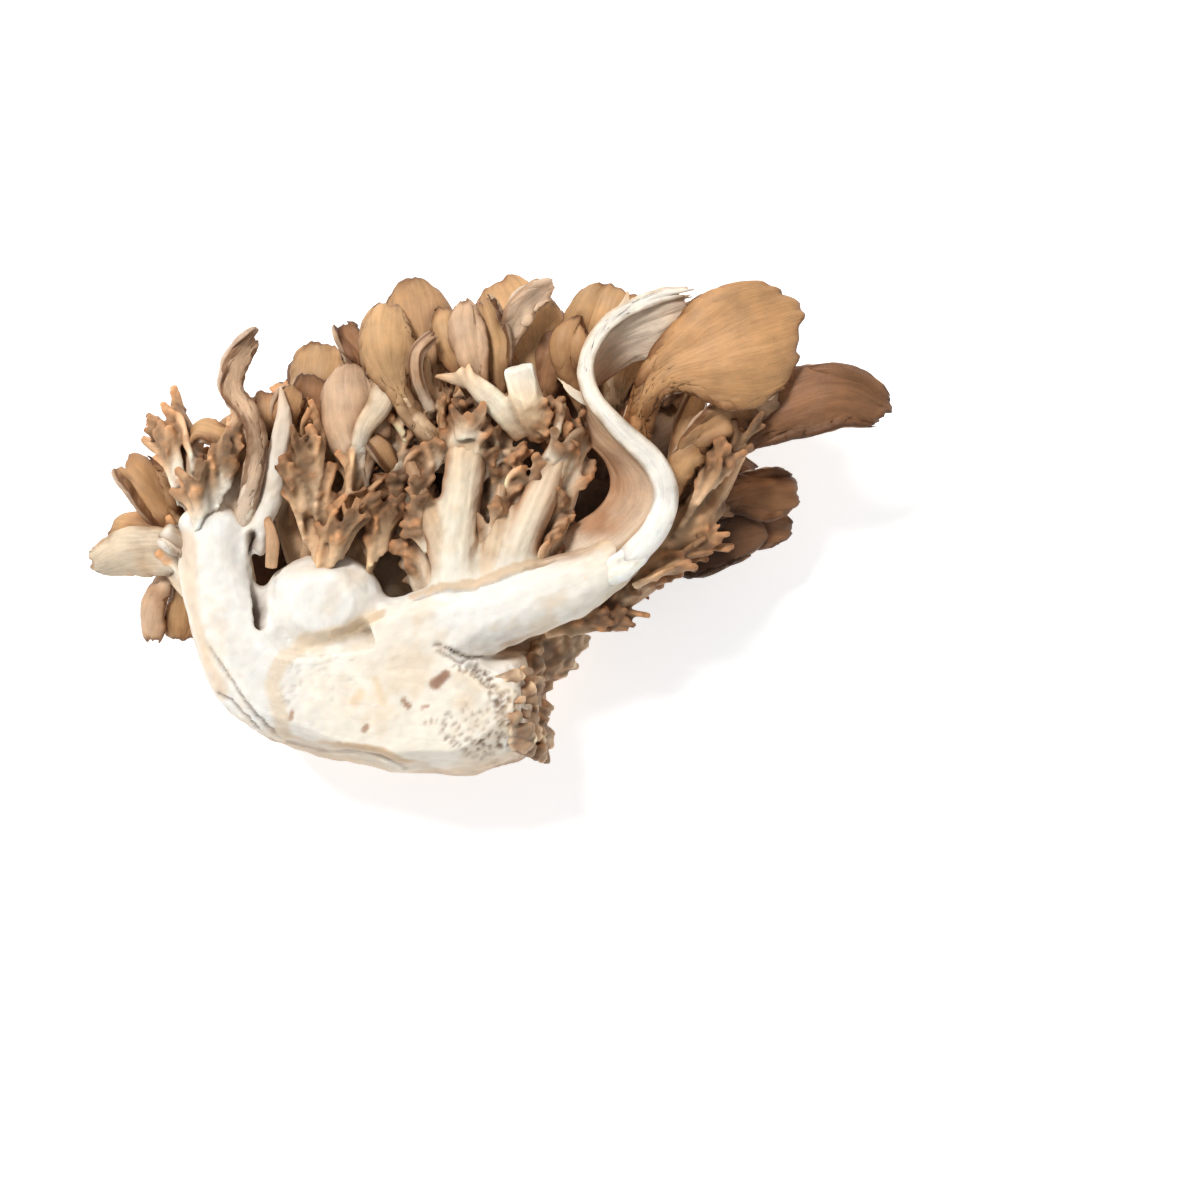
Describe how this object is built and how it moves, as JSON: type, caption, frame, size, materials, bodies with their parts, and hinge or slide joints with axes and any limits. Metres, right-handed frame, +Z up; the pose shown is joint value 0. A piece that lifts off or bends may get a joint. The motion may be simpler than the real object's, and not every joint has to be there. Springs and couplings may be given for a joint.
{
  "type": "maitake mushroom",
  "caption": "Half of a maitake head, cut through its white foot and lying on its back, with curled stalks and brown fan-shaped caps.",
  "frame": {"origin": "on the resting surface, in the middle of the flat spot under the foot", "axes": "+X across the head, from the left caps to the far right cap; +Y from the foot to the crown; +Z up, out of the cut face"},
  "size_m": [0.2033, 0.1298, 0.0609],
  "materials": {
    "flesh": "matte, fibrous cut flesh",
    "pale_frond": "matte",
    "golden_cap": "satin, faintly streaked",
    "tan_caps": "matte",
    "brown_caps": "matte",
    "dark_caps": "matte"
  },
  "bodies": {
    "root": {"cut_base": "flesh", "sickle_frond": "pale_frond", "great_cap": "golden_cap", "left_caps": "tan_caps", "trunk_spray": "tan_caps", "middle_spray": "brown_caps", "column_frills": "brown_caps", "crown_caps": "brown_caps", "right_spray": "brown_caps", "top_caps": "brown_caps", "under_caps": "dark_caps"}
  },
  "joints": []
}
